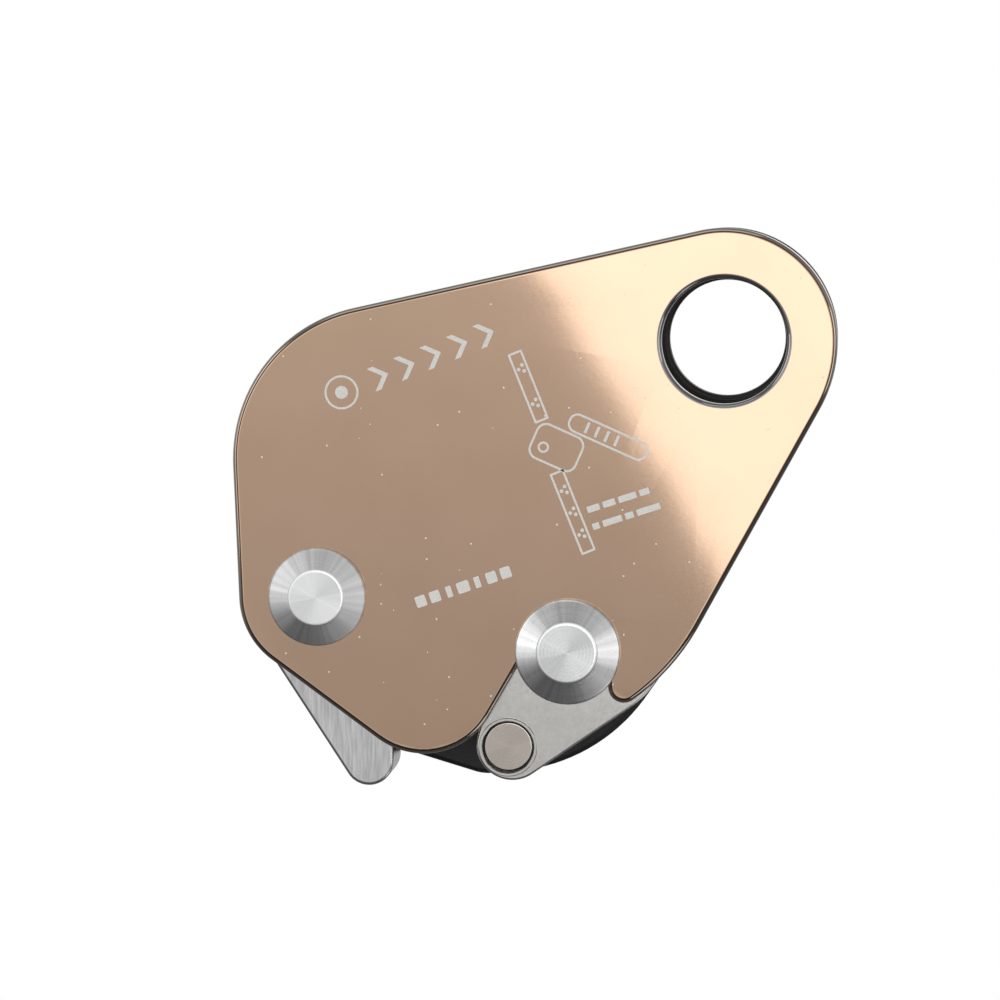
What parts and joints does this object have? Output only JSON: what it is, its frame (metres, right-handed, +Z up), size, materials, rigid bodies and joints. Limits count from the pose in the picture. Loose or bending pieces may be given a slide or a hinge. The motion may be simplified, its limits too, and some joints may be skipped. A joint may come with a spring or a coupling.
{
  "type": "rope grab ascender",
  "caption": "Small rope grab with two eye plates, a sprung cam and a guide roller; the front plate swings open to take the rope.",
  "frame": {"origin": "on the rope's centre line, at the height of the pivot axle and midway between the plates' rope faces", "axes": "+Z up along the rope, +X from the rope towards the carabiner eye, +Y from the swinging front plate towards the fixed back plate"},
  "size_m": [0.0849, 0.0258, 0.0791],
  "materials": {
    "bronze_plate": "polished, bronze anodised",
    "black_plate": "black anodised, satin",
    "turned_steel": "bright turned, circular tool marks",
    "satin_steel": "satin with rounded edges",
    "milled_steel": "milled and lightly scratched",
    "plain_steel": "plain",
    "bearing_bronze": "sintered, matt",
    "spring_steel": "drawn wire"
  },
  "bodies": {
    "frame": {"back_plate": "black_plate", "pivot_axle": "turned_steel", "pivot_rivet_ring": "plain_steel", "pivot_spacer_washer": "plain_steel", "spring_spool": "plain_steel", "spring_anchor_pin": "plain_steel", "cam_stop_pin": "plain_steel", "cam_spring": "spring_steel", "hook_axle": "turned_steel", "hook_rivet_ring": "plain_steel", "hook_spacer": "plain_steel", "tie_arm": "satin_steel", "guide_pin": "turned_steel", "roller_front_washer": "plain_steel", "roller_back_washer": "plain_steel", "guide_rivet_ring": "plain_steel"},
    "front_plate": {"front_plate": "bronze_plate", "front_plate_bush": "bearing_bronze"},
    "cam_jaw": {"cam_jaw": "milled_steel", "cam_bush": "bearing_bronze"},
    "guide_roller": {"guide_roller": "milled_steel"}
  },
  "joints": [
    {"name": "front_plate_swing", "type": "hinge", "parent": "frame", "child": "front_plate", "pos_m": [-0.01704, 0, 0], "axis": [0, -1, 0], "range_deg": [0, 225]},
    {"name": "cam_jaw_swing", "type": "hinge", "parent": "frame", "child": "cam_jaw", "pos_m": [-0.01704, 0, 0], "axis": [0, -1, 0], "range_deg": [-10, 18], "stiffness_Nm_per_rad": 0.08},
    {"name": "guide_roller_spin", "type": "hinge", "parent": "frame", "child": "guide_roller", "pos_m": [0.00955, 0, -0.0215], "axis": [0, 1, 0], "continuous": true}
  ]
}
